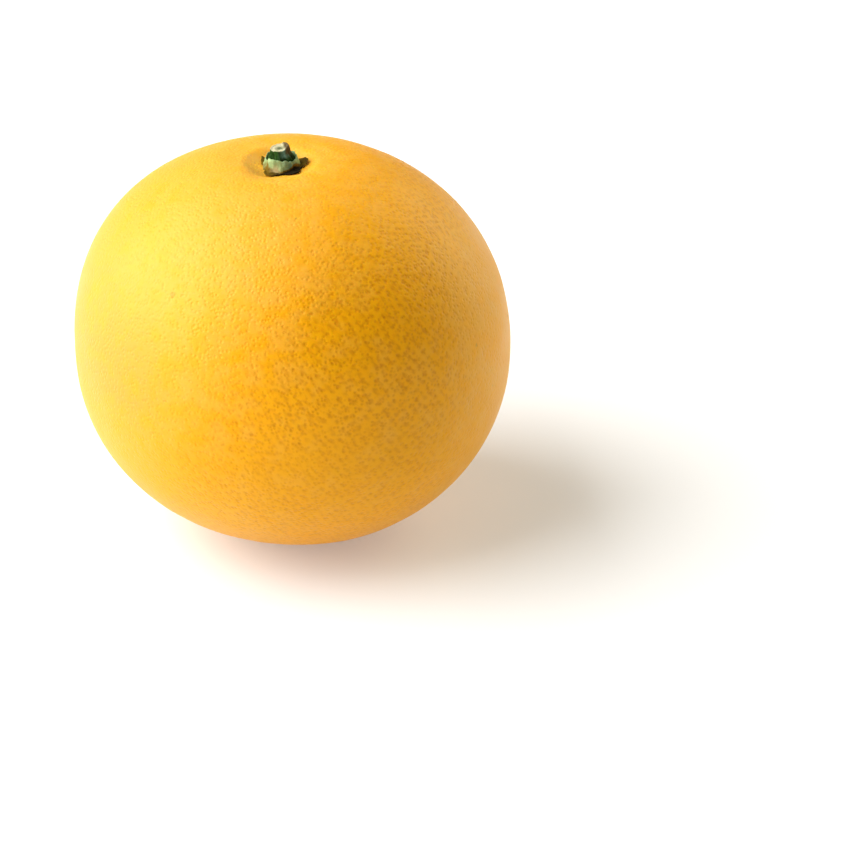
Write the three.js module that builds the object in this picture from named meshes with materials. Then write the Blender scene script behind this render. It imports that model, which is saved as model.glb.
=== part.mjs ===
// A whole ripe pomelo, picked with its calyx and a short stub of stem, standing on its blossom end.
// Millimetres, +Z up. The origin is on the surface that the fruit stands on, under its middle.
//
// The fruit is one solid. Its meridian is two quarter superellipses, squarer above the equator than
// below it, and its stem end leans to one side, as the broad shoulder on -X shows. The calyx sits on
// a small level seat in the stem basin, and the stem stub sits on a level boss in the calyx.

import * as THREE from "three";

// ---- Fruit ----
const EQUATOR_RADIUS = 75;
const CROWN_HEIGHT = 70; // from the equator up to the stem end, were its basin filled
const BASE_HEIGHT = 66.6; // from the equator down to the blossom end, were it not flattened
const CROWN_FULLNESS = 2.25; // superellipse exponents: 2 is an ellipse, and more has squarer shoulders
const BASE_FULLNESS = 2.06;
const STEM_LEAN = -2.65; // the stem end's place along X
const LEAN_CURVE = 1.5; // 1 leans the crown straight over, and more bends it over
const FLAT_RADIUS = 12; // the flat spot that the fruit rests on

// Slow swells round the equator, which fade out at both ends.
const SWELLS = [
  { lobes: 2, size: 0.6, turn: -Math.PI / 2 },
  { lobes: 3, size: 0.4, turn: Math.PI },
  { lobes: 5, size: 0.2, turn: 0.8 },
];

// ---- Stem end ----
const BASIN_DEPTH = 4.8;
const BASIN_WIDTH = 13;
const COLLAR_HEIGHT = 0.4; // the skin swells a little just outside the sepals
const COLLAR_RADIUS = 12.5;
const COLLAR_WIDTH = 2.2;
const SEAT_RADIUS = 5.1; // the level patch that the calyx grows from
const SEAT_BLEND = 7.9; // from the edge of the seat out to where the basin has its full slope
// The basin runs out more gently on one side.
const OPEN_SIDE = { angle: 262, extra: 8, width: 50 };

// ---- Blossom end: the scar that the style left, a shallow cup in the flat spot ----
const SCAR_RADIUS = 3.4;
const SCAR_DEPTH = 1.1;

// ---- Calyx ----
const CALYX_RADIUS = 6.1; // out to the notches between the sepals
// Five sepals of uneven length. Angles and widths are in degrees, counted from +X.
const SEPALS = [
  { angle: 20, reach: 3.2, width: 30 },
  { angle: 80, reach: 2.4, width: 22 },
  { angle: 142, reach: 2.5, width: 20 },
  { angle: 246, reach: 3.8, width: 22 },
  { angle: 305, reach: 3.1, width: 25 },
];
const BOSS_RADIUS = 4.6; // the level middle, which lies on the seat and carries the stem stub
const BOSS_HEIGHT = 3.2;
const RING_THICKNESS = 4.4; // the fleshy ring round the boss, which the sepals spread from
const RING_INSIDE = [BOSS_RADIUS, 5.3]; // where the ring rises from the boss
const RING_OUTSIDE = [5.4, 6.2]; // where it thins to the sepals
const SEPAL_THICKNESS = 0.8;
const CLEARANCE = 0.4; // gap under the sepals, from the edge of the seat outwards
const TIP_LIFT = 0.4; // further gap at the tips of the longest sepals
const RIM_SHARE = 0.14; // the rounded edge, as a share of the way from the boss to the outline

// ---- Stem stub: radius and height of each ring of its profile, from its foot to its cut end ----
const STUB_PROFILE = [
  [0, 0],
  [4.2, 0],
  [4.15, 0.5],
  [3.9, 1.3],
  [3.5, 2.1],
  [3.2, 2.9],
  [3.05, 3.8],
  [2.8, 4.4],
  [2.0, 4.35],
  [1.0, 4.15],
  [0, 4.1],
];
const STUB_OVAL = 0.06; // how much wider than deep the stub is, as a share of its radius
const STUB_BEND = 0.35; // how far the cut end leans over its foot, along -X
// The cut slants: it falls towards this angle from its highest edge, by this much for each mm.
const CUT = { angle: 235, slope: 0.16, edge: 3.05 };

// ---- Fineness ----
const FRUIT_MERIDIANS = 72;
const FRUIT_RINGS = 64;
const RING_CROWDING = 0.8; // 0 spaces the rings evenly, and nearly 1 gathers them at the two ends
const CALYX_MERIDIANS = 60;
const SEPAL_RINGS = 9;
const RIM_STEPS = 6;
const STUB_MERIDIANS = 28;

// ---- Worked out from the above ----
const EQUATOR_HEIGHT = superellipseHeight(FLAT_RADIUS, BASE_HEIGHT, BASE_FULLNESS);
const SEAT_HEIGHT = EQUATOR_HEIGHT + CROWN_HEIGHT - BASIN_DEPTH;
const BOSS_LEVEL = SEAT_HEIGHT + BOSS_HEIGHT;
const LONGEST_SEPAL = CALYX_RADIUS + Math.max(...SEPALS.map(({ reach }) => reach));

// Height over the equator of a superellipse of revolution, at a distance from its axis.
function superellipseHeight(distance, height, fullness) {
  return height * (1 - (distance / EQUATOR_RADIUS) ** fullness) ** (1 / fullness);
}

function smoothstep(low, high, value) {
  const t = THREE.MathUtils.clamp((value - low) / (high - low), 0, 1);
  return t * t * (3 - 2 * t);
}

function bell(offset, width) {
  return Math.exp(-((offset / width) ** 2));
}

// The profile turned about Z as one closed geometry, with each vertex then put in place by move.
function turned(profile, meridians, move) {
  const points = profile.map(([radius, height]) => new THREE.Vector2(radius, height));
  const geometry = new THREE.LatheGeometry(points, meridians).rotateX(Math.PI / 2);
  const places = geometry.getAttribute("position");
  const point = new THREE.Vector3();
  for (let i = 0; i < places.count; i++) {
    move(point.fromBufferAttribute(places, i));
    places.setXYZ(i, point.x, point.y, point.z);
  }
  geometry.computeVertexNormals();
  return geometry;
}

// A bell round a direction. The angles and the width are in degrees, but around is in radians.
function bellAround(around, angle, width) {
  const away = around - THREE.MathUtils.degToRad(angle);
  const turn = Math.atan2(Math.sin(away), Math.cos(away));
  return bell(turn, THREE.MathUtils.degToRad(width));
}

// How far the skin near the stem lies below the filled-in crown.
function basinDrop(distance) {
  const basin = BASIN_DEPTH * bell(distance, BASIN_WIDTH);
  const collar = COLLAR_HEIGHT * bell(distance - COLLAR_RADIUS, COLLAR_WIDTH);
  return basin - collar;
}

// The crown's height with the basin sunk into it and the seat levelled.
function stemEnd(crown, distance, around) {
  const open = OPEN_SIDE.extra * bellAround(around, OPEN_SIDE.angle, OPEN_SIDE.width);
  const seated = smoothstep(SEAT_RADIUS, SEAT_RADIUS + SEAT_BLEND + open, distance);
  return THREE.MathUtils.lerp(SEAT_HEIGHT, crown - basinDrop(distance), seated);
}

// ---- Fruit: a unit sphere's points, each moved out to the skin ----

function unitRing(index) {
  const share = index / FRUIT_RINGS;
  const crowding = (RING_CROWDING * Math.sin(2 * Math.PI * share)) / (2 * Math.PI);
  const angle = Math.PI * (share - crowding);
  return [Math.max(0, Math.sin(angle)), -Math.cos(angle)];
}

function swell(point) {
  const around = Math.atan2(point.y, point.x);
  const awayFromEnds = point.x ** 2 + point.y ** 2;
  const waves = SWELLS.map(({ lobes, size, turn }) => size * Math.cos(lobes * around - turn));
  return awayFromEnds * waves.reduce((sum, wave) => sum + wave, 0);
}

function toSkin(point) {
  const upper = point.z >= 0;
  const height = upper ? CROWN_HEIGHT : BASE_HEIGHT;
  const fullness = upper ? CROWN_FULLNESS : BASE_FULLNESS;
  const across = Math.hypot(point.x, point.y) / EQUATOR_RADIUS;
  const along = Math.abs(point.z) / height;
  const radius = (across ** fullness + along ** fullness) ** (-1 / fullness);
  point.multiplyScalar(radius + swell(point));

  if (upper) {
    point.x += STEM_LEAN * (point.z / CROWN_HEIGHT) ** LEAN_CURVE;
    const distance = Math.hypot(point.x - STEM_LEAN, point.y);
    const around = Math.atan2(point.y, point.x - STEM_LEAN);
    point.z = stemEnd(EQUATOR_HEIGHT + point.z, distance, around);
    return;
  }
  const distance = Math.hypot(point.x, point.y);
  const scar = SCAR_DEPTH * Math.max(0, 1 - (distance / SCAR_RADIUS) ** 2) ** 2;
  point.z = Math.max(0, EQUATOR_HEIGHT + point.z) + scar;
}

function fruitGeometry() {
  const profile = Array.from({ length: FRUIT_RINGS + 1 }, (_, index) => unitRing(index));
  return turned(profile, FRUIT_MERIDIANS, toSkin);
}

// ---- Calyx: a flat lens with heights from -1 to 1, whose radius is 1 at the boss and 2 at the edge ----

function calyxOutline(around) {
  const reaches = SEPALS.map(({ angle, reach, width }) => reach * bellAround(around, angle, width));
  return reaches.reduce((radius, reach) => radius + reach, CALYX_RADIUS);
}

function calyxUnderside(distance, around) {
  const crown = EQUATOR_HEIGHT + superellipseHeight(distance, CROWN_HEIGHT, CROWN_FULLNESS);
  const clearance = CLEARANCE * smoothstep(BOSS_RADIUS, SEAT_RADIUS, distance);
  const lift = TIP_LIFT * smoothstep(CALYX_RADIUS, LONGEST_SEPAL, distance);
  return stemEnd(crown, distance, around) + clearance + lift;
}

function calyxTop(distance, underside) {
  const thinned = smoothstep(...RING_OUTSIDE, distance);
  const thickness = THREE.MathUtils.lerp(RING_THICKNESS, SEPAL_THICKNESS, thinned);
  const risen = smoothstep(...RING_INSIDE, distance);
  return THREE.MathUtils.lerp(BOSS_LEVEL, underside + thickness, risen);
}

function toCalyx(point) {
  const share = Math.hypot(point.x, point.y);
  const around = Math.atan2(point.y, point.x);
  const outward = Math.max(0, share - 1);
  const overhang = calyxOutline(around) - BOSS_RADIUS;
  const distance = Math.min(share, 1) * BOSS_RADIUS + outward * overhang;
  const low = calyxUnderside(distance, around);
  const high = calyxTop(distance, low);
  point.set(
    STEM_LEAN + distance * Math.cos(around),
    distance * Math.sin(around),
    THREE.MathUtils.lerp(low, high, (1 + point.z) / 2),
  );
}

function calyxGeometry() {
  const sheetEnd = 1 - RIM_SHARE;
  const sheet = Array.from({ length: SEPAL_RINGS }, (_, i) => 1 + (i / SEPAL_RINGS) * sheetEnd);
  const rim = Array.from({ length: RIM_STEPS + 1 }, (_, i) => {
    const angle = Math.PI * (i / RIM_STEPS - 0.5);
    return [1 + sheetEnd + RIM_SHARE * Math.cos(angle), Math.sin(angle)];
  });
  const underside = [0, ...sheet].map((share) => [share, -1]);
  const top = [0, ...sheet].map((share) => [share, 1]).reverse();
  return turned([...underside, ...rim, ...top], CALYX_MERIDIANS, toCalyx);
}

// ---- Stem stub ----

function toStub(point) {
  const top = STUB_PROFILE.at(-1)[1];
  const towards = THREE.MathUtils.degToRad(CUT.angle);
  const along = point.x * Math.cos(towards) + point.y * Math.sin(towards);
  const fall = CUT.slope * (CUT.edge + along);
  point.x *= 1 + STUB_OVAL;
  point.y *= 1 - STUB_OVAL;
  point.x += STEM_LEAN - STUB_BEND * (point.z / top) ** 2;
  point.z += BOSS_LEVEL - fall * (point.z / top);
}

function stubGeometry() {
  return turned(STUB_PROFILE, STUB_MERIDIANS, toStub);
}

// ---- The object ----

function piece(name, geometry, colour, roughness) {
  const material = new THREE.MeshStandardMaterial({ color: colour, roughness, metalness: 0 });
  const mesh = new THREE.Mesh(geometry, material);
  mesh.name = name;
  return mesh;
}

const pomelo = new THREE.Group();
pomelo.name = "pomelo";
pomelo.add(
  piece("fruit", fruitGeometry(), 0xf4b32a, 0.45),
  piece("calyx", calyxGeometry(), 0x9fbf86, 0.6),
  piece("stem_stub", stubGeometry(), 0x5c6b45, 0.8),
);

export default pomelo;
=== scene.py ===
# %% [markdown]
# # A ripe pomelo
#
# A pomelo is the largest citrus fruit. This one is 150 mm across, a little flatter than a ball, and
# still carries the green calyx and the cut stub of the stem that it hung from. Three surfaces make it:
# the rind, the calyx and the stub. Each is worked out as numbers on a grid and then given a finish.
#
# The frame is loaded first. It holds the plain solids of the same three pieces, in metres, with +Z up
# and the ground at z = 0, so that every surface made here can be laid exactly over its solid.

# %% Load the frame
import itertools

import bpy
import numpy as np
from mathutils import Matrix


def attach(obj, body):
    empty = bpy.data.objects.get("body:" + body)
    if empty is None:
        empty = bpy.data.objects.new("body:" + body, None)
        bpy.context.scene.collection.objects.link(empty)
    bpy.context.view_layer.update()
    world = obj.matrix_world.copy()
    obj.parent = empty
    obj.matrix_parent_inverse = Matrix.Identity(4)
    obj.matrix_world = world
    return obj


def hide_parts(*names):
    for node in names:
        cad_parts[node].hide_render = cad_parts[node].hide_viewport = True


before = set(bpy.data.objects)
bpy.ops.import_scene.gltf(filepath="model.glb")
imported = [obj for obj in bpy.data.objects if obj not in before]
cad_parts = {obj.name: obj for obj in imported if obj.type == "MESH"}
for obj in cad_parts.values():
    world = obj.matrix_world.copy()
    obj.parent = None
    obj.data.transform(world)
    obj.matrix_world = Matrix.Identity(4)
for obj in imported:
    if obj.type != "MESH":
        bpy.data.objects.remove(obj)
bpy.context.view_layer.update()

MM = 0.001
print("solids:", ", ".join(sorted(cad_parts)))

# %% [markdown]
# ## The camera
#
# A long lens from about 80 cm shows fruit without swelling the part that is nearest. The camera looks
# down at 28 degrees, which is how one looks at a fruit on a table, and it is set a little to the right
# of the fruit, so that the fruit stands left of the middle of a square picture. Turning the camera
# towards the fruit would put the fruit back in the middle.

# %% Set up the camera
LOOK_DOWN = np.radians(27.79)
CAMERA_PLACE = (45.22 * MM, -735.67 * MM, 421.85 * MM)
FOCAL_LENGTH = 100
SENSOR_WIDTH = 36


def make_camera():
    """A camera that looks along +Y, tipped down by LOOK_DOWN."""
    lens = bpy.data.cameras.new("camera")
    lens.lens = FOCAL_LENGTH
    lens.sensor_width = SENSOR_WIDTH
    camera = bpy.data.objects.new("camera", lens)
    camera.location = CAMERA_PLACE
    camera.rotation_euler = (np.pi / 2 - LOOK_DOWN, 0, 0)
    bpy.context.scene.collection.objects.link(camera)
    bpy.context.scene.camera = camera
    return camera


camera = make_camera()
print("camera at", [round(value, 3) for value in camera.location])

# %% [markdown]
# ## From grids to meshes
#
# Every piece is an array of points and a list of faces. A ball could be made of rings from pole to
# pole, but its faces would crowd at the poles, and one pole is where the stem is. The rind needs even
# faces all over, so it starts as a cube whose six sides are blown up into a ball. The calyx and the
# stub are closed surfaces round one axis, so their grid runs along a profile and round the axis, and
# a fan of triangles closes each end.

# %% Put a mesh in the scene
def put_in_scene(name, points, faces, **values):
    """Makes a smooth mesh object from points and faces. values are attributes with one number a point."""
    mesh = bpy.data.meshes.new(name)
    mesh.from_pydata(points, [], faces)
    mesh.shade_smooth()
    for label, numbers in values.items():
        attribute = mesh.attributes.new(label, "FLOAT", "POINT")
        attribute.data.foreach_set("value", np.asarray(numbers, np.float32))
    piece = bpy.data.objects.new(name, mesh)
    bpy.context.scene.collection.objects.link(piece)
    print(f"{name}: {len(points)} points, {len(faces)} faces")
    return piece


# %% A ball of even faces
def cube_side(steps):
    """The points (tan a, tan b, 1) of one side of a cube, with a and b equal angles apart, and its quads."""
    tangent = np.tan(np.linspace(-np.pi / 4, np.pi / 4, steps + 1))
    a, b = np.meshgrid(tangent, tangent, indexing="ij")
    points = np.stack([a, b, np.ones_like(a)], -1).reshape(-1, 3)
    corner = np.arange(len(points)).reshape(steps + 1, steps + 1)
    quads = np.stack([corner[:-1, :-1], corner[1:, :-1], corner[1:, 1:], corner[:-1, 1:]], -1)
    return points, quads.reshape(-1, 4)


def blown_cube(steps):
    """Unit directions and quads of a ball: six cube sides, with each point scaled to length one, and the
    points that the sides share along their edges merged."""
    side, quads = cube_side(steps)
    sides, faces = [], []
    for turned in ([0, 1, 2], [1, 2, 0], [2, 0, 1]):
        for way in (1, -1):
            faces.append(quads[:, ::way] + len(sides) * len(side))
            sides.append(side[:, turned] * way)
    directions = np.concatenate(sides)
    directions /= np.linalg.norm(directions, axis=1, keepdims=True)
    _, first, same = np.unique(np.round(directions, 9), axis=0, return_index=True, return_inverse=True)
    return directions[first], same.reshape(-1)[np.concatenate(faces)]


# %% Closed surfaces round an axis
def lathe_grid(profile, around_steps):
    """A profile's values and the angles round the axis, as two grids: one row for each value."""
    around = np.linspace(0, 2 * np.pi, around_steps, endpoint=False)
    return np.meshgrid(profile, around, indexing="ij")


def once(grid):
    """A grid's values in one row. Its first and last rows lie on the axis and give one point each."""
    middle = grid[1:-1].reshape(-1, *grid.shape[2:])
    return np.concatenate([grid[:1, 0], middle, grid[-1:, 0]])


def lathe_faces(rows, around):
    """The faces between the rows of a lathed grid: a fan at each end, and quads between."""
    corner = 1 + np.arange((rows - 2) * around).reshape(rows - 2, around)
    beside = np.roll(corner, -1, axis=1)
    quads = np.stack([corner[:-1], beside[:-1], beside[1:], corner[1:]], -1).reshape(-1, 4)
    end = corner.max() + 1
    fans = [[0, q, p] for p, q in zip(corner[0], beside[0])]
    fans += [[end, p, q] for p, q in zip(corner[-1], beside[-1])]
    return fans + quads.tolist()


def put_lathed(name, points, **values):
    """Makes a mesh object from a lathed grid of points, with a grid of numbers for each attribute."""
    values = {label: once(value) for label, value in values.items()}
    return put_in_scene(name, once(points), lathe_faces(*points.shape[:2]), **values)


# %% [markdown]
# ## Small shaping tools
#
# Nearly every form on the fruit is one of five things: a smooth step, a round bump, waves round the
# stem, a soft random swell, or a scatter of small pits. The swells come from random numbers at the
# corners of a cubic grid. The pits lie along a spiral that spreads its points evenly over a ball, as
# seeds lie in a sunflower, with each one nudged a little. The random numbers have a fixed seed, so the
# fruit grows the same way each time.

# %% Steps, bumps and waves
def step(low, high, value):
    """0 at low, 1 at high, and the smooth curve 3t^2 - 2t^3 between. With high below low it falls."""
    t = np.clip((value - low) / (high - low), 0, 1)
    return t * t * (3 - 2 * t)


def bump(offset, width):
    """A round bump of height 1: e to the minus (offset / width) squared."""
    return np.exp(-((offset / width) ** 2))


def mix(start, end, share):
    """start where share is 0 and end where it is 1."""
    return start + (end - start) * share


def waves(around, parts):
    """A sum of sine waves round the axis. Each part is (waves in a turn, height, start in radians)."""
    return sum(height * np.sin(count * around + start) for count, height, start in parts)


def turned_from(around, degrees):
    """The angle from a direction in degrees, in radians from minus pi to pi."""
    return np.angle(np.exp(1j * (around - np.radians(degrees))))


def bumps(around, spots):
    """A sum of round bumps round the axis. Each spot is (direction, height, width), with both angles in
    degrees."""
    return sum(height * bump(turned_from(around, angle), np.radians(width)) for angle, height, width in spots)


# %% Soft random swells
RANDOM = np.random.default_rng(1851).random((64, 64, 64, 3))


def random_at(corner):
    """The random number that belongs to each corner of the cubic grid."""
    wrapped = corner % len(RANDOM)
    return RANDOM[wrapped[..., 0], wrapped[..., 1], wrapped[..., 2], 0]


def swell_noise(points, size, shift=0):
    """Soft noise from -1 to 1: random numbers at the corners of a grid of that size, smoothly blended. A
    shift of a few metres gives another pattern."""
    place = (points + shift) / size
    corner = np.floor(place).astype(int)
    share = step(0, 1, place - corner)
    total = np.zeros(points.shape[:-1])
    for offset in itertools.product((0, 1), repeat=3):
        weight = np.prod(np.where(offset, share, 1 - share), axis=-1)
        total += weight * random_at(corner + offset)
    return 2 * total - 1


def swells(points, parts):
    """A sum of soft swells, each in a pattern of its own. Each part is (size, height)."""
    return sum(height * swell_noise(points, size, shift) for shift, (size, height) in enumerate(parts))


# %% Points scattered evenly over a ball
def scattered(count, jitter):
    """Unit directions spread evenly over a ball: a spiral from pole to pole that turns by the golden angle
    at each step, with every direction then nudged at random by jitter times the space between them."""
    place = (np.arange(count) + 0.5) / count
    turn = np.pi * (3 - np.sqrt(5)) * np.arange(count)
    across = np.sqrt(1 - (1 - 2 * place) ** 2)
    directions = np.stack([across * np.cos(turn), across * np.sin(turn), 1 - 2 * place], -1)
    directions += jitter * np.sqrt(4 * np.pi / count) * (RANDOM.reshape(-1, 3)[:count] - 0.5)
    return directions / np.linalg.norm(directions, axis=1, keepdims=True)


def nearest(directions, centres):
    """For each direction, which centre is nearest and how far away it is, as the chord sqrt(2 - 2 cos)."""
    index, cosine = [], []
    for some in np.array_split(directions.astype(np.float32), 64):
        closeness = some @ centres.T.astype(np.float32)
        index.append(closeness.argmax(1))
        cosine.append(closeness.max(1))
    return np.concatenate(index), np.sqrt(np.clip(2 - 2 * np.concatenate(cosine), 0, None))


# %% [markdown]
# ## The shape of the fruit
#
# Cut through its axis, the fruit is two quarter superellipses that meet at the equator. A superellipse
# is an ellipse whose exponent isn't 2: above 2 its shoulders are squarer, and the upper half of this
# fruit has such shoulders. The stem end leans a little to one side and lies in a shallow basin, and
# the blossom end is pressed flat where the fruit stands, with a small scar in the middle.

# %% Measures of the fruit
EQUATOR_RADIUS = 75 * MM
CROWN_HEIGHT = 70 * MM
BASE_HEIGHT = 66.6 * MM
CROWN_FULLNESS = 2.25
BASE_FULLNESS = 2.06
STEM_LEAN = -2.65 * MM
LEAN_POWER = 1.5
FLAT_RADIUS = 12 * MM
SCAR_RADIUS = 3.4 * MM
SCAR_DEPTH = 1.1 * MM
SWELLS = [(2, 0.6 * MM, np.pi), (3, 0.4 * MM, -np.pi / 2), (5, 0.2 * MM, np.pi / 2 - 0.8)]

BASIN_DEPTH = 4.8 * MM
BASIN_WIDTH = 13 * MM
COLLAR_RADIUS = 12.5 * MM
COLLAR_HEIGHT = 0.4 * MM
COLLAR_WIDTH = 2.2 * MM
SEAT_RADIUS = 5.1 * MM
SEAT_BLEND_RADIUS = 13 * MM
OPEN_SIDE = [(262, 8 * MM, 50)]


# %% Heights of the crown
def superellipse(distance, height, fullness):
    """Height of a superellipse over the equator: height times (1 - (distance / radius)^n)^(1 / n)."""
    return height * (1 - (distance / EQUATOR_RADIUS) ** fullness) ** (1 / fullness)


EQUATOR = superellipse(FLAT_RADIUS, BASE_HEIGHT, BASE_FULLNESS)
SEAT = EQUATOR + CROWN_HEIGHT - BASIN_DEPTH
print(f"equator {EQUATOR / MM:.1f} mm up, calyx seat {SEAT / MM:.1f} mm up")


def stem_end(crown, distance, around):
    """The crown's height with the basin sunk in it as a bump, a low collar round the sepals as another, and
    the level seat blended in. The blend reaches further out on the open side of the basin."""
    basin = BASIN_DEPTH * bump(distance, BASIN_WIDTH)
    collar = COLLAR_HEIGHT * bump(distance - COLLAR_RADIUS, COLLAR_WIDTH)
    outside = SEAT_BLEND_RADIUS + bumps(around, OPEN_SIDE)
    return mix(SEAT, crown - basin + collar, step(SEAT_RADIUS, outside, distance))


# %% The smooth skin
def swollen_ball(directions):
    """Unit directions moved out to a length of one over the superellipse's norm of the direction, plus slow
    waves round the axis that fade towards both ends with the square of the distance across."""
    across = np.hypot(directions[:, 0], directions[:, 1])
    upper = directions[:, 2] >= 0
    height = np.where(upper, CROWN_HEIGHT, BASE_HEIGHT)
    fullness = np.where(upper, CROWN_FULLNESS, BASE_FULLNESS)
    along = np.abs(directions[:, 2]) / height
    length = ((across / EQUATOR_RADIUS) ** fullness + along**fullness) ** (-1 / fullness)
    around = np.arctan2(directions[:, 1], directions[:, 0])
    return directions * (length + across**2 * waves(around, SWELLS))[:, None]


def from_stem(points):
    """Distance and direction of each point from the upright line through the stem."""
    x, y = points[:, 0] - STEM_LEAN, points[:, 1]
    return np.hypot(x, y), np.arctan2(y, x)


def smooth_skin(directions):
    """The swollen ball, leant over towards the stem by a power of the height, with the stem end sunk into
    its top, and its bottom pressed flat on the ground round a small hollow scar."""
    x, y, z = swollen_ball(directions).T
    leant = x + STEM_LEAN * (np.clip(z, 0, None) / CROWN_HEIGHT) ** LEAN_POWER
    top = stem_end(EQUATOR + z, *from_stem(np.stack([leant, y], -1)))
    scar = SCAR_DEPTH * np.clip(1 - (x**2 + y**2) / SCAR_RADIUS**2, 0, None) ** 2
    bottom = np.maximum(EQUATOR + z, 0) + scar
    return np.stack([leant, y, np.where(directions[:, 2] >= 0, top, bottom)], -1)


# %% [markdown]
# ## The rind's relief
#
# Citrus rind is full of oil glands. Each one sits under a small dimple, and together they give the
# skin its peel. A bumpy finish alone could draw them, but it would leave the outline smooth and be
# lost on a printed or bare mesh. So the dimples are real relief, two and a half millimetres apart, and
# the skin between them swells a little here and there. Only the finest pores, near a millimetre
# apart, are left to the finish. The relief is stronger where the rind is riper, on the side away from
# the sun, and it stops short of the flat spot and of the seat of the calyx. Round the calyx the skin
# is drawn into a few soft folds.

# %% Pits, swells and folds
PIT_COUNT = 11000
PIT_PITCH = EQUATOR_RADIUS * np.sqrt(4 * np.pi / PIT_COUNT)
PIT_WIDTH = 0.36 * PIT_PITCH
PIT_DEPTH = 0.10 * MM
PIT_JITTER = 0.5
SHALLOWEST_PIT = 0.55
RIND_SWELLS = [(9 * MM, 0.09 * MM), (4.5 * MM, 0.045 * MM)]
FOLDS = [(5, 0.22 * MM, np.pi / 2 + 0.6), (8, 0.12 * MM, np.pi / 2 + 2.0)]
FOLD_RADIUS = 12 * MM
FOLD_WIDTH = 4.5 * MM


def pits(directions):
    """How deep each direction lies in a pit, from 0 to 1: a round bump, with some pits deeper than others."""
    centre, away = nearest(directions, scattered(PIT_COUNT, PIT_JITTER))
    deepest = mix(SHALLOWEST_PIT, 1, RANDOM.reshape(-1, 3)[::-1][centre, 0])
    return deepest * bump(away * EQUATOR_RADIUS, PIT_WIDTH)


def folds(points):
    """Waves round the stem that are highest at FOLD_RADIUS and die out on both sides of it as a bump."""
    distance, around = from_stem(points)
    fold = waves(around, FOLDS) * bump(distance - FOLD_RADIUS, FOLD_WIDTH)
    return fold * (points[:, 2] > EQUATOR)


# %% Where the rind is ripe, bare or tinted
RIPE_WAY = np.array([0.80, -0.1, -0.5])
RIPENING = (-60 * MM, 20 * MM)
FAR_RIGHT = (35 * MM, 72 * MM)
FAR_RIGHT_EASE = 0.6
CALYX_MARGIN = (5 * MM, 9 * MM)
FOOT_MARGIN = (0.2 * MM, 2 * MM)


def ripeness(points):
    """From 0 on the pale side to 1 on the ripe one: a step along RIPE_WAY, eased again at the far right."""
    along = points @ RIPE_WAY + 0.5 * EQUATOR
    return step(*RIPENING, along) * (1 - FAR_RIGHT_EASE * step(*FAR_RIGHT, points[:, 0]))


def bareness(points):
    """1 on the open rind, with steps down to 0 at the calyx and at the flat spot."""
    distance, _ = from_stem(points)
    clear_of_stem = np.where(points[:, 2] > EQUATOR, step(*CALYX_MARGIN, distance), 1)
    return clear_of_stem * step(*FOOT_MARGIN, points[:, 2])


def tints(points):
    """Where each tint lies, from 0 to 1: the stem end, the scar, painted shade on the upper left, where
    the key lamp falls brightest, the golden part of the pale side, and the band in which the glands are
    darkest. Each is made of steps or bumps along x, z or both."""
    x, y, z = points.T
    return {
        "near_stem": bump(from_stem(points)[0], 13 * MM) * (z > EQUATOR),
        "scar": bump(np.hypot(x, y), 5 * MM) * (z < 2 * MM),
        # Painted shade on the upper left, where the key lamp falls brightest.
        "upper_left_shade": step(-25 * MM, -60 * MM, x) * bump(z - 84 * MM, 38 * MM),
        "golden": step(10 * MM, -40 * MM, x) * step(75 * MM, 30 * MM, z),
        "speckled": step(54 * MM, 82 * MM, z) * step(133 * MM, 116 * MM, z),
    }


# %% Make the rind
RIND_STEPS = 128
PALE_RELIEF = 0.38
RIPE_RELIEF = 1.25


def outward(directions):
    """The skin's directions outwards, taken as those of a ball flattened to the crown's height."""
    normals = directions / np.array([1, 1, (CROWN_HEIGHT / EQUATOR_RADIUS) ** 2])
    return normals / np.linalg.norm(normals, axis=1, keepdims=True)


def make_rind():
    """The smooth skin, moved outwards by the swells less the pits, as far as it is bare, and by the folds."""
    directions, quads = blown_cube(RIND_STEPS)
    skin = smooth_skin(directions)
    pit, bare, ripe = pits(directions), bareness(skin), ripeness(skin)
    relief = swells(skin, RIND_SWELLS) - PIT_DEPTH * pit
    rise = bare * mix(PALE_RELIEF, RIPE_RELIEF, ripe) * relief + folds(skin)
    points = skin + outward(directions) * rise[:, None]
    return put_in_scene("rind", points, quads, pit=pit * bare, ripe=ripe, **tints(points))


rind = make_rind()
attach(rind, "root")
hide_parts("fruit")

# %% [markdown]
# ## The calyx
#
# The calyx is the green star under the stem. A fleshy ring surrounds the stem and five sepals spread
# from it onto the skin, none as long as the next. Five leaves and a ring could be made one by one, but
# on the fruit they are one piece of flesh, with no seams. So it is modelled as a flat lens: one grid
# that runs from the middle of the underside out to the edge and back over the top. The outline of the
# star stretches the lens, and the ring, the ribs and the wrinkles are heights added on its upper side.

# %% Measures of the calyx
# Directions and widths are in degrees. reach is how far a sepal goes past the notches between them,
# lift is how far its tip curls up from the skin, and the last number is how brown it has turned. The
# sepal at 305 degrees is given so much that it turns near-black, partly its own dead colour and partly
# painted shadow under the ring's edge.
SEPALS = [
    {"angle": 20, "width": 30, "reach": 3.2 * MM, "lift": 0.9 * MM, "dried_and_shadow": 0.8},
    {"angle": 80, "width": 22, "reach": 2.4 * MM, "lift": 0.8 * MM, "dried_and_shadow": 0.5},
    {"angle": 142, "width": 20, "reach": 2.5 * MM, "lift": 1.2 * MM, "dried_and_shadow": 0.5},
    {"angle": 246, "width": 22, "reach": 3.8 * MM, "lift": 0.1 * MM, "dried_and_shadow": 0.5},
    {"angle": 305, "width": 25, "reach": 3.1 * MM, "lift": 0.2 * MM, "dried_and_shadow": 4.5},
]
NOTCH_RADIUS = 6.1 * MM
BOSS_RADIUS = 4.6 * MM
BOSS = SEAT + 3.2 * MM
RAGGED_EDGE = [(11, 0.1 * MM, 1), (17, 0.1 * MM, 4), (29, 0.1 * MM, 0)]

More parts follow.
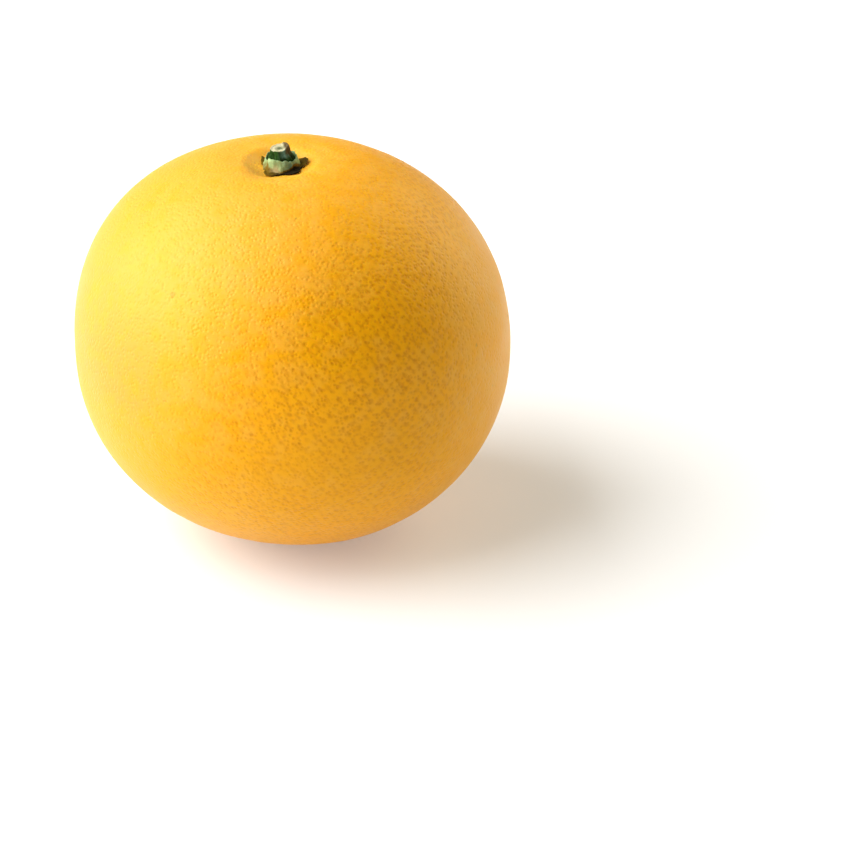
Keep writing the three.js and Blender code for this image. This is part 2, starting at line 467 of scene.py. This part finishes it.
CLEARANCE = 0.1 * MM
RING_HEIGHT = 4.4 * MM
EDGE_THICKNESS = 0.5 * MM
INNER_WALL = (BOSS_RADIUS, 5.3 * MM)
OUTER_WALL = (5.0 * MM, 6.4 * MM)
RING_BULGES = [(262, 0.35 * MM, 28.65), (320, -0.7 * MM, 28.65)]
LOBE_OUT, LOBE_UP = 0.5 * MM, 0.2 * MM
KNOB_OUT, KNOB_UP = 0.4 * MM, 0.2 * MM
KNOB_SIZE = 1.4 * MM
LUMPS = [(2.1 * MM, 0.35 * MM), (0.8 * MM, 0.12 * MM)]
WART_SIZE = 0.9 * MM
WART_HEIGHT = 0.16 * MM
WARTS_BEGIN = (5.0 * MM, 5.6 * MM)
WARTS_END = (8.0 * MM, 6.8 * MM)

TIPS_LIFT = (6.5 * MM, 10 * MM)
RIBS_BEGIN = (6.2 * MM, 7.2 * MM)
RIB_HEIGHT = 0.3 * MM
WRINKLE_COUNT = 46
WRINKLE_HEIGHT = 0.05 * MM

DRYNESS_BEGINS = (5.9 * MM, 6.7 * MM)
LEAST_DRYNESS = 0.4
CREEPING_DRYNESS = [(212, 0.9 * MM, 31.5), (338, 0.35 * MM, 25.8)]
# Painted shade: a darker bluish tint on the ring's right side, which faces away from the key lamp.
RING_SHADE_SPOT = [(316, 1, 31.5)]
RING_SHADE_BEGINS = (4.8 * MM, 5.4 * MM)
# Painted highlight: a pale cream spot where the ring's lit foot catches the key lamp.
RING_HIGHLIGHT_SPOT = [(256, 1, 11.46)]
RING_HIGHLIGHT_RADIUS = 6.05 * MM
RING_HIGHLIGHT_WIDTH = 0.35 * MM


def over_sepals(around, measure=None, widen=1):
    """A sum of bumps, one over each sepal, as high as one of its measures, or else 1 high."""
    heights = [sepal[measure] if measure else 1 for sepal in SEPALS]
    return bumps(around, [(s["angle"], height, s["width"] * widen) for s, height in zip(SEPALS, heights)])


# %% The lens
def lens_profile(inner, outer, rim, rim_share):
    """The lens as rows of (share, side). share is 0 on the axis, 1 at the boss and 2 at the edge, and side
    is -1 underneath and 1 on top. A half circle rounds the edge."""
    inside = np.linspace(0, 1, inner, endpoint=False)
    outside = np.linspace(1, 2 - rim_share, outer, endpoint=False)
    sheet = np.concatenate([inside, outside])
    turn = np.linspace(-np.pi / 2, np.pi / 2, rim + 1)
    share = np.concatenate([sheet, 2 - rim_share + rim_share * np.cos(turn), sheet[::-1]])
    side = np.concatenate([-np.ones(len(sheet)), np.sin(turn), np.ones(len(sheet))])
    return share, side


def star(share, around):
    """Distance from the stem: the boss's radius inside, and from there on towards the star's outline, which
    is the notches' radius, the sepals' bumps and a ragged edge of small waves."""
    outline = NOTCH_RADIUS + over_sepals(around, "reach") + waves(around, RAGGED_EDGE)
    return np.minimum(share, 1) * BOSS_RADIUS + np.clip(share - 1, 0, None) * (outline - BOSS_RADIUS)


def underside(distance, around):
    """The underside's height: the skin's, a small clearance past the seat, and a lift under the tips."""
    skin = stem_end(EQUATOR + superellipse(distance, CROWN_HEIGHT, CROWN_FULLNESS), distance, around)
    lift = step(*TIPS_LIFT, distance) * over_sepals(around, "lift", widen=1.5)
    return skin + CLEARANCE * step(BOSS_RADIUS, SEAT_RADIUS, distance) + lift


# %% The fleshy ring
def ring_and_edge(flat, distance, around):
    """How thick the calyx is, and the distance that the ring's wall is measured by. The thickness steps down
    from the ring's to the edge's. Lobes before the sepals, random knobs and two bulges move the wall."""
    lobes = over_sepals(around, widen=1.1) - 0.5
    knobs = swell_noise(flat, KNOB_SIZE, shift=2)
    wall = distance - LOBE_OUT * lobes - KNOB_OUT * knobs - bumps(around, RING_BULGES)
    crest = RING_HEIGHT + LOBE_UP * lobes + KNOB_UP * knobs
    return mix(crest, EDGE_THICKNESS, step(*OUTER_WALL, wall)), wall


def upper_relief(flat, share, distance, around):
    """Lumps of two sizes, a rib down the middle of each sepal, and fine wrinkles that grow outwards."""
    ribs = RIB_HEIGHT * over_sepals(around, widen=0.2) * step(*RIBS_BEGIN, distance)
    wrinkles = WRINKLE_HEIGHT * np.sin(WRINKLE_COUNT * around + 3 * np.sin(5 * around))
    wrinkles = wrinkles * np.clip(share - 1, 0, None)
    return (swells(flat, LUMPS) + ribs + wrinkles) * step(BOSS_RADIUS, SEAT_RADIUS, distance)


def warty(points, distance, around, top):
    """The points with the ring's outer wall moved in and out by random warts."""
    wall = step(*WARTS_BEGIN, distance) * step(*WARTS_END, distance) * top
    warts = WART_HEIGHT * wall * swell_noise(points, WART_SIZE, shift=3)
    return points + np.stack([warts * np.cos(around), warts * np.sin(around), np.zeros_like(warts)], -1)


# %% Make the calyx
def calyx_tints(wall, distance, around):
    """Where each tint lies: dryness from the tips in, which creeps up the ring in two places and, at the
    sepal at 305 degrees, also paints shadow; painted shade on the ring's right side; and a painted highlight
    at the ring's foot. out is the distance from the stem in millimetres."""
    dried_and_shadow = step(*DRYNESS_BEGINS, wall + bumps(around, CREEPING_DRYNESS))
    return {
        "dryness_and_shadow": (LEAST_DRYNESS + over_sepals(around, "dried_and_shadow", widen=1.2)) * dried_and_shadow,
        # Painted shade on the ring's right side.
        "ring_shade": bumps(around, RING_SHADE_SPOT) * step(*RING_SHADE_BEGINS, distance),
        # Painted highlight at the ring's foot.
        "ring_highlight": bumps(around, RING_HIGHLIGHT_SPOT) * bump(wall - RING_HIGHLIGHT_RADIUS, RING_HIGHLIGHT_WIDTH),
        "out": distance / MM,
    }


def make_calyx(around_steps=320):
    """The star-shaped lens, laid on the skin, with the ring and its relief on the upper side. A point's
    height is the underside's, the upper side's, or between them round the rim."""
    share, side = lens_profile(inner=7, outer=34, rim=10, rim_share=0.16)
    top = (1 + side[:, None]) / 2
    share, around = lathe_grid(share, around_steps)
    distance = star(share, around)
    under = underside(distance, around)
    x, y = STEM_LEAN + distance * np.cos(around), distance * np.sin(around)
    flat = np.stack([x, y, under], -1)
    thickness, wall = ring_and_edge(flat, distance, around)
    over = mix(BOSS, under + thickness, step(*INNER_WALL, distance))
    over = over + upper_relief(flat, share, distance, around)
    points = warty(np.stack([x, y, mix(under, over, top)], -1), distance, around, top)
    return put_lathed("calyx_flesh", points, **calyx_tints(wall, distance, around))


calyx = make_calyx()
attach(calyx, "root")
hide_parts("calyx")

# %% [markdown]
# ## The stem stub
#
# The fruit was cut from the tree with clippers, so a few millimetres of woody stem are left. Its side
# has fine grooves that run up it in a slight twist, its foot flares into the calyx, and its cut end,
# which slants, has a rim of bark round drier, slightly sunken wood. On one side the bark is torn and
# stands over the cut. A cylinder could be cut with a plane, but its edge would be too clean. So it is a
# lathed profile whose radius and height also change round the axis, which makes the grooves, the
# slant and the torn rim real.

# %% Measures of the stem stub
# Radius and height of the stub's profile, from its foot to the middle of its cut end.
STUB_PROFILE = np.array([
    (0, 0), (4.2, 0), (4.15, 0.5), (3.9, 1.3), (3.5, 2.1), (3.2, 2.9), (3.05, 3.8),
    (2.98, 4.3), (2.8, 4.45), (2.55, 4.4), (2.4, 4.22), (1.6, 4.15), (0.8, 4.12), (0, 4.1),
]) * MM
STUB_PROFILE_POINTS = 90
STUB_HEIGHT = STUB_PROFILE[-1, 1]
STUB_OVAL = (1.06, 0.94)
STUB_BEND = 0.35 * MM
CUT_ANGLE = 235
CUT_SLOPE = 0.16
CUT_EDGE = 3.05 * MM
TWIST = 40
GROOVES = [(7, 0.05, 1), (19, 0.03, 0), (41, 0.02, 2)]
GROOVE_RELIEF = 0.6
SHALLOW_GROOVES = 0.4
DEEP_GROOVES = [(300, 0.6, 68.75)]
TORN_ANGLE = 12
TORN_HEIGHT = 0.65 * MM
TORN_FROM = (0.9 * MM, 1.8 * MM)
CUT_ROUGHNESS = [(0.5 * MM, 0.1 * MM), (1.1 * MM, 0.12 * MM)]
STREAKS = [(13, 0.5 * MM, 1), (29, 0.5 * MM, 3)]
HUSK_BEGINS = (1.8 * MM, 3.2 * MM)
GREY_BLOOM = [(302, 1, 22.9)]
BLOOM_BEGINS = (1.2 * MM, 2.4 * MM)


def resampled(profile, count):
    """The profile's line with count points, equally far apart along it."""
    length = np.concatenate([[0], np.cumsum(np.linalg.norm(np.diff(profile, axis=0), axis=1))])
    place = np.linspace(0, length[-1], count)
    return np.interp(place, length, profile[:, 0]), np.interp(place, length, profile[:, 1])


# %% Grooves, cut and torn bark
def groove_waves(radius, height, around):
    """Waves round the side, twisted as they rise and deeper in front. Below 0 they are grooves."""
    side = step(2.2 * MM, 2.8 * MM, radius) * step(0.1 * MM, 0.8 * MM, height)
    return waves(around + TWIST * height, GROOVES) * (SHALLOW_GROOVES + bumps(around, DEEP_GROOVES)) * side


def torn_bark(radius, around):
    """1 where the bark is torn, at the rim on the side of TORN_ANGLE, and 0 elsewhere."""
    return step(*TORN_FROM, radius * np.cos(turned_from(around, TORN_ANGLE)))


def cut_fall(radius, around):
    """How far the cut lies below its high edge: its slope times the way down along CUT_ANGLE."""
    return CUT_SLOPE * (CUT_EDGE + radius * np.cos(turned_from(around, CUT_ANGLE)))


def cut_relief(points, radius, height, around):
    """Roughness of two sizes and the torn rim, with its uneven teeth, fading down the side in a step."""
    teeth = 0.8 + 0.2 * np.sin(8 * around + 2 * np.sin(3 * around))
    torn = TORN_HEIGHT * torn_bark(radius, around) * teeth
    return (swells(points, CUT_ROUGHNESS) + torn) * step(3.0 * MM, STUB_HEIGHT, height)


# %% Make the stem stub
def stub_tints(radius, height, around):
    """Where each tint lies: cut wood, brown husk that runs down in streaks from the torn bark, and a grey
    bloom on the upper side. out is the distance from the middle in millimetres."""
    chipped = torn_bark(radius, around)
    streaks = waves(around + TWIST * height, STREAKS)
    wood = step(4.05 * MM, 4.2 * MM, height) * step(3.0 * MM, 2.7 * MM, radius)
    return {
        "cut": wood * (1 - 0.95 * chipped),
        "husk": chipped * step(*HUSK_BEGINS, height + streaks),
        "grey": bumps(around, GREY_BLOOM) * step(*BLOOM_BEGINS, height),
        "out": radius / MM,
    }


def make_stub(around_steps=216):
    """The lathed profile, grooved, slightly oval and bent, with its heights squeezed by the slanted cut."""
    radius, height = resampled(STUB_PROFILE, STUB_PROFILE_POINTS)
    height = height[:, None] * np.ones(around_steps)
    radius, around = lathe_grid(radius, around_steps)
    squeeze = 1 - cut_fall(radius, around) / STUB_HEIGHT
    groove = groove_waves(radius, height, around)
    radius = radius * (1 + GROOVE_RELIEF * groove)
    x = STUB_OVAL[0] * radius * np.cos(around) + STEM_LEAN - STUB_BEND * (height / STUB_HEIGHT) ** 2
    y = STUB_OVAL[1] * radius * np.sin(around)
    rise = cut_relief(np.stack([x, y, height], -1), radius, height, around)
    points = np.stack([x, y, BOSS + height * squeeze + rise], -1)
    return put_lathed("stub_wood", points, groove=10 * groove, **stub_tints(radius, height, around))


stub = make_stub()
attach(stub, "root")
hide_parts("stem_stub")

# %% [markdown]
# ## Finishes
#
# A finish is a small network of shader nodes. It could be drawn by hand in the shader editor, but as
# lines of code it can be read and repeated. The helpers below add one node and wire it in one line.
# All patterns read the object's own coordinates or the attributes that were stored on its points, so
# they stay fixed to the fruit from every side.

# %% Add and wire shader nodes
def add(tree, kind, output=0, settings=(), **inputs):
    """Adds a node and returns one of its outputs. An input is a number, a colour or another node's output,
    and is named by its label, or by i and its number."""
    node = tree.nodes.new(kind)
    for name, value in dict(settings).items():
        setattr(node, name, value)
    for name, value in inputs.items():
        socket = node.inputs[int(name[1:])] if name[1:].isdigit() else node.inputs[name.replace("_", " ")]
        if isinstance(value, bpy.types.NodeSocket):
            tree.links.new(value, socket)
        else:
            socket.default_value = value
    return node.outputs[output]


def finish(name, paint, **fixed):
    """A material whose varying inputs come from paint(tree) and whose other inputs are fixed values."""
    material = bpy.data.materials.new(name)
    material.use_nodes = True
    tree = material.node_tree
    tree.nodes.clear()
    surface = add(tree, "ShaderNodeBsdfPrincipled", 0, **fixed, **paint(tree))
    tree.links.new(surface, tree.nodes.new("ShaderNodeOutputMaterial").inputs["Surface"])
    print(f"{name}: {len(tree.nodes)} nodes")
    return material


# %% Mix, map and multiply
def blend(tree, factor, first, second):
    """first where factor is 0, second where it is 1."""
    settings = {"data_type": "RGBA", "blend_type": "MIX"}
    return add(tree, "ShaderNodeMix", 2, settings, i0=factor, i6=first, i7=second)


def between(tree, value, low, high, start=0.0, end=1.0):
    """Maps value smoothly from the range low to high onto start to end."""
    settings = {"interpolation_type": "SMOOTHSTEP"}
    inputs = {"i0": value, "i1": low, "i2": high, "i3": start, "i4": end}
    return add(tree, "ShaderNodeMapRange", 0, settings, **inputs)


def plus(tree, first, second):
    """The sum of two numbers."""
    return add(tree, "ShaderNodeMath", 0, {"operation": "ADD"}, i0=first, i1=second)


def times(tree, first, second):
    """The product of two numbers."""
    return add(tree, "ShaderNodeMath", 0, {"operation": "MULTIPLY"}, i0=first, i1=second)


# %% Patterns and relief
def stored(tree, name):
    """A number that was stored on the points."""
    return add(tree, "ShaderNodeAttribute", 2, {"attribute_name": name})


def noise(tree, per_metre, detail=3.0):
    """Soft noise from 0 to 1, with so many swells in a metre."""
    place = add(tree, "ShaderNodeTexCoord", 3)
    return add(tree, "ShaderNodeTexNoise", 0, Vector=place, Scale=per_metre, Detail=detail, Roughness=0.5)


def from_centres(tree, per_metre):
    """Distance to the nearest of randomly scattered centres, with about so many in a metre."""
    place = add(tree, "ShaderNodeTexCoord", 3)
    return add(tree, "ShaderNodeTexVoronoi", 0, Vector=place, Scale=per_metre)


def relief(tree, height, distance, strength=1.0, under=None):
    """A bump from a height, laid over another bump where one is given."""
    inputs = {"Height": height, "Distance": distance, "Strength": strength}
    if under is not None:
        inputs["Normal"] = under
    return add(tree, "ShaderNodeBump", 0, **inputs)


# %% [markdown]
# ## The finish of the rind
#
# Ripe rind is a warm golden yellow that drifts towards orange as it ripens, mottled all over. Each
# dimple and pore is deeper in colour, because the oil gland under it is clear and the skin is thin
# there. This shows most in a broad band round the riper side. A picture wrapped round the fruit could
# hold all this, but it would stretch at both ends, so the colours are mixed from noise and from the
# numbers stored on the points. Light goes a few millimetres into the rind and comes out again orange.
# A thin natural wax makes a soft, wide highlight, with a warm tint of its own.

# %% Colours of the rind
YELLOW = (0.80, 0.39, 0.040, 1)
# Painted shade: a darker yellow for the upper left, where the key lamp falls brightest.
UPPER_LEFT_SHADE_YELLOW = (0.72, 0.320, 0.044, 1)
GOLD = (0.80, 0.405, 0.012, 1)
ORANGE = (0.79, 0.345, 0.0, 1)
CLEAR_ORANGE = (0.83, 0.362, 0.0, 1)
GLAND = (0.57, 0.205, 0.0, 1)
FLECK = (0.40, 0.24, 0.030, 1)
STEM_TINT = (0.78, 0.46, 0.050, 1)
SCAR_BROWN = (0.22, 0.12, 0.045, 1)

# How many of each go into a metre.
PATCHES = 22
GLOSS_PATCHES = 60
FLECKS = 160
MOTTLES = 170
FINE_MOTTLES = 420
PORES = 760
GRAIN = 1500

PATCH_DRIFT = 0.15
MOTTLE_DRIFT = 0.35
GOLDEN_SHARE = 0.9
FINE_MOTTLE_SHARE = 0.25
FLECK_SHARE = 0.5
STEM_SHARE = 0.45
PORE_HEIGHT = -0.12 * MM
GRAIN_HEIGHT = 0.06 * MM

# Each of these has two values: outside the speckled band, and inside it.
PIT_MIDDLE = (0.9, 0.82)
GLAND_SHARE = (0.45, 0.7)
PORE_SHARE = (0.35, 0.6)


def paint_skin(tree):
    """The skin between the glands: yellow, darkened on the upper left as painted shade, drifting to orange
    with the ripeness and with broad patches and mottling on it, then the golden tint and a finer orange
    mottling."""
    patches = between(tree, noise(tree, PATCHES), 0.3, 0.7, -PATCH_DRIFT, PATCH_DRIFT)
    mottling = between(tree, noise(tree, MOTTLES), 0.3, 0.7, -MOTTLE_DRIFT, MOTTLE_DRIFT)
    drift = plus(tree, plus(tree, patches, mottling), stored(tree, "ripe"))
    # Painted shade: the yellow turns darker on the upper left.
    pale = blend(tree, stored(tree, "upper_left_shade"), YELLOW, UPPER_LEFT_SHADE_YELLOW)
    orange = blend(tree, stored(tree, "speckled"), ORANGE, CLEAR_ORANGE)
    skin = blend(tree, drift, pale, orange)
    skin = blend(tree, times(tree, stored(tree, "golden"), GOLDEN_SHARE), skin, GOLD)
    fine = between(tree, noise(tree, FINE_MOTTLES), 0.35, 0.75, 0, FINE_MOTTLE_SHARE)
    return blend(tree, fine, skin, orange)


def paint_glands(tree, colour, pores):
    """The gland colour in each pit and pore, as far as the rind is ripe, and more in the speckled band."""
    ripe = between(tree, stored(tree, "ripe"), 0.35, 1, 0.08, 1)
    speckled = stored(tree, "speckled")
    middle = between(tree, speckled, 0, 1, *PIT_MIDDLE)
    glands = between(tree, stored(tree, "pit"), 0.1, middle, 0, between(tree, speckled, 0, 1, *GLAND_SHARE))
    colour = blend(tree, times(tree, glands, ripe), colour, GLAND)
    pores = times(tree, pores, between(tree, speckled, 0, 1, *PORE_SHARE))
    return blend(tree, times(tree, pores, ripe), colour, GLAND)


def paint_marks(tree, colour):
    """Rare brown flecks, where a noise is highest, the paler stem end and the brown scar."""
    flecks = between(tree, noise(tree, FLECKS, detail=2), 0.735, 0.78, 0, FLECK_SHARE)
    colour = blend(tree, flecks, colour, FLECK)
    colour = blend(tree, times(tree, stored(tree, "near_stem"), STEM_SHARE), colour, STEM_TINT)
    return blend(tree, stored(tree, "scar"), colour, SCAR_BROWN)


def paint_rind(tree):
    """Skin, glands and marks, with pores sunk in a fine grain, and gloss that varies from patch to patch."""
    pores = between(tree, from_centres(tree, PORES), 0.0, 0.6, 1, 0)
    colour = paint_marks(tree, paint_glands(tree, paint_skin(tree), pores))
    grain = relief(tree, noise(tree, GRAIN, detail=2), GRAIN_HEIGHT, 0.6)
    normal = relief(tree, pores, PORE_HEIGHT, 1.0, grain)
    roughness = between(tree, noise(tree, GLOSS_PATCHES), 0.3, 0.7, 0.42, 0.5)
    return {"Base_Color": colour, "Roughness": roughness, "Normal": normal}


rind_finish = finish(
    "rind", paint_rind,
    Subsurface_Weight=0.18, Subsurface_Radius=(1.0, 0.35, 0.06), Subsurface_Scale=4 * MM,
    Specular_IOR_Level=0.32, Specular_Tint=(1.0, 0.85, 0.40, 1),
)
rind.data.materials.append(rind_finish)

# %% [markdown]
# ## The finishes of the calyx and the stub
#
# The ring of the calyx is still green and a little fleshy, with painted shade, darker and bluish, on the
# right side that faces away from the key lamp, and a painted highlight, a pale cream spot, at its foot.
# Its sepals dry from the tips inwards, so they turn brown, and one is nearly black, partly dead and partly
# painted shadow under the ring's edge. The stub is dark green bark with painted shade in its grooves and
# a grey bloom in front. Its cut end has dried to a pale tan with a darker middle, and on one side the
# bark is torn over it. Each could have a flat colour for each part, but living tissue changes slowly, so
# every tint is stored on the points and fades in. Neither is waxed, so both hardly shine.

# %% Paint the calyx
FLESH_DEEP = (0.22, 0.36, 0.130, 1)
FLESH_PALE = (0.42, 0.54, 0.25, 1)
# Painted shade: near-black green for the hollow between the ring and the stub.
HOLLOW_SHADE_GREEN = (0.008, 0.030, 0.004, 1)
# Painted shade: a darker bluish green for the ring's right side.
RING_SHADE_TEAL = (0.140, 0.290, 0.260, 1)
VEIN_BROWN = (0.20, 0.17, 0.06, 1)
DRY_BROWN = (0.160, 0.095, 0.006, 1)
# Dead brown and painted shadow: the near-black of the sepal at 305 degrees.
DEAD_BROWN_AND_SHADOW = (0.012, 0.008, 0.002, 1)
# Painted highlight: the pale cream of the ring's lit foot.
HIGHLIGHT_CREAM = (0.62, 0.50, 0.25, 1)

# How many of each go into a metre.
DRY_PATCHES = 500
FLESH_MOTTLES = 700
VEINS = 1600
FLESH_GRAIN = 2500


def paint_calyx(tree):
    """Mottled green flesh with painted shade in the hollow round the stem, a darker bluish painted shade on
    the ring's right side, and thin veins. Dryness, broken up by noise, turns it brown and then nearly black,
    which also paints shadow under the ring's edge. The painted highlight at the ring's foot comes last."""
    colour = blend(tree, noise(tree, FLESH_MOTTLES), FLESH_DEEP, FLESH_PALE)
    # Painted shade in the hollow round the stem.
    colour = blend(tree, between(tree, stored(tree, "out"), 4.6, 5.3, 1, 0), colour, HOLLOW_SHADE_GREEN)
    # Painted shade on the ring's right side.
    colour = blend(tree, stored(tree, "ring_shade"), colour, RING_SHADE_TEAL)
    colour = blend(tree, between(tree, noise(tree, VEINS, detail=2), 0.55, 0.7, 0, 0.4), colour, VEIN_BROWN)
    dryness_and_shadow = times(tree, stored(tree, "dryness_and_shadow"), between(tree, noise(tree, DRY_PATCHES), 0.2, 0.6, 0.7, 1.1))
    colour = blend(tree, between(tree, dryness_and_shadow, 0.1, 0.6), colour, DRY_BROWN)
    # Partly painted shadow: the near-black under the ring's edge, mostly on the sepal at 305 degrees.
    colour = blend(tree, between(tree, dryness_and_shadow, 0.7, 1.7), colour, DEAD_BROWN_AND_SHADOW)
    # Painted highlight at the ring's foot.
    colour = blend(tree, stored(tree, "ring_highlight"), colour, HIGHLIGHT_CREAM)
    normal = relief(tree, noise(tree, FLESH_GRAIN), 0.1 * MM, 0.7)
    return {"Base_Color": colour, "Roughness": between(tree, dryness_and_shadow, 0, 1, 0.5, 0.8), "Normal": normal}


calyx.data.materials.append(finish("calyx", paint_calyx, Specular_IOR_Level=0.08))

# %% Paint the stem stub
BARK_DARK = (0.006, 0.025, 0.001, 1)
BARK_GREEN = (0.026, 0.076, 0.008, 1)
RIDGE_GREEN = (0.040, 0.080, 0.030, 1)
# Painted shade: nearly black for the grooves.
GROOVE_SHADE = (0.012, 0.011, 0.003, 1)
BLOOM_GREY = (0.100, 0.190, 0.140, 1)
HUSK_BROWN = (0.100, 0.068, 0.028, 1)
WOOD_TAN = (0.42, 0.37, 0.20, 1)
WOOD_PALE = (0.72, 0.68, 0.44, 1)
WOOD_MIDDLE = (0.12, 0.09, 0.05, 1)

# How many of each go into a metre.
BARK_BLOTCHES = 500
RIDGE_MOTTLES = 600
WOOD_MOTTLES = 1800
STUB_GRAIN = 3000


def paint_bark(tree):
    """Blotches of two greens, paler ridges, painted shade in the grooves, the grey bloom and the torn brown
    husk.
    """
    groove = stored(tree, "groove")
    bark = blend(tree, between(tree, noise(tree, BARK_BLOTCHES), 0.35, 0.65), BARK_DARK, BARK_GREEN)
    ridges = times(tree, between(tree, groove, 0.1, 0.6), noise(tree, RIDGE_MOTTLES, detail=2))
    bark = blend(tree, ridges, bark, RIDGE_GREEN)
    # Painted shade in the grooves, strongest in front where they are deepest.
    bark = blend(tree, between(tree, groove, -0.2, -0.6), bark, GROOVE_SHADE)
    bark = blend(tree, stored(tree, "grey"), bark, BLOOM_GREY)
    return blend(tree, stored(tree, "husk"), bark, HUSK_BROWN)


def paint_stub(tree):
    """Bark on the side, and mottled tan wood with a darker middle on the cut end."""
    wood = blend(tree, noise(tree, WOOD_MOTTLES), WOOD_TAN, WOOD_PALE)
    wood = blend(tree, between(tree, stored(tree, "out"), 0.5, 1.0, 0.6, 0), wood, WOOD_MIDDLE)
    colour = blend(tree, stored(tree, "cut"), paint_bark(tree), wood)
    return {"Base_Color": colour, "Normal": relief(tree, noise(tree, STUB_GRAIN), 0.1 * MM, 0.8)}


stub.data.materials.append(finish("stem", paint_stub, Roughness=0.75, Specular_IOR_Level=0.06))

# %% [markdown]
# ## The studio
#
# The fruit stands on a plain white floor in a dim white room, which keeps its shaded side from going
# black. One large soft lamp, high on the left, is the sun of this room. A smaller, warmer one, behind
# the fruit on the right, gives its far edge a pale glow. A lamp nearby could be weaker, but both stand
# well back, so that they light the floor evenly as far as it is seen. The floor shines a little, so
# that it stays white, and throws light up under the fruit. The picture keeps plain, unsoftened
# colours.

# %% Floor
FLOOR_HALF = 8.0
FLOOR_WHITE = (0.7, 0.7, 0.7, 1)
FLOOR_GLOW = 0.24


def make_floor():
    """A white sheet, sixteen metres across, so that no camera sees its end."""
    half = FLOOR_HALF
    corners = [(-half, -half, 0), (half, -half, 0), (half, half, 0), (-half, half, 0)]
    floor = put_in_scene("floor", corners, [(0, 1, 2, 3)])
    paint = finish(
        "floor", lambda tree: {},
        Base_Color=FLOOR_WHITE, Roughness=0.9, Specular_IOR_Level=0.0,
        Emission_Color=(1, 1, 1, 1), Emission_Strength=FLOOR_GLOW,
    )
    floor.data.materials.append(paint)


make_floor()

# %% Room and lamps
ROOM_BRIGHTNESS = 0.15
LAMP_DISTANCE = 2.6
KEY_LAMP = {"direction": (-0.77, -0.09, 0.63), "size": 3.25, "watts": 200, "colour": (1.0, 1.0, 1.0)}
RIM_LAMP = {"direction": (0.70, 0.58, 0.42), "size": 2.28, "watts": 45, "colour": (1.0, 0.94, 0.65)}


def light_room(brightness):
    """The same white light from all round."""
    room = bpy.data.worlds.new("room")
    room.use_nodes = True
    room.node_tree.nodes["Background"].inputs["Color"].default_value = (1, 1, 1, 1)
    room.node_tree.nodes["Background"].inputs["Strength"].default_value = brightness
    bpy.context.scene.world = room


def soft_lamp(name, direction, size, watts, colour):
    """A square lamp that shines from that direction on the middle of the fruit. It is tilted from upright by
    the angle between its direction and +Z, and turned by its direction round +Z."""
    lamp = bpy.data.lights.new(name, "AREA")
    lamp.size = size
    lamp.energy = watts
    lamp.color = colour
    holder = bpy.data.objects.new(name, lamp)
    towards = np.array(direction) / np.linalg.norm(direction)
    holder.location = towards * LAMP_DISTANCE + np.array([0, 0, EQUATOR])
    holder.rotation_euler = (0, np.arccos(towards[2]), np.arctan2(towards[1], towards[0]))
    bpy.context.scene.collection.objects.link(holder)


light_room(ROOM_BRIGHTNESS)
soft_lamp("key", **KEY_LAMP)
soft_lamp("rim", **RIM_LAMP)
bpy.context.scene.view_settings.view_transform = "Standard"
print("room and two lamps on")
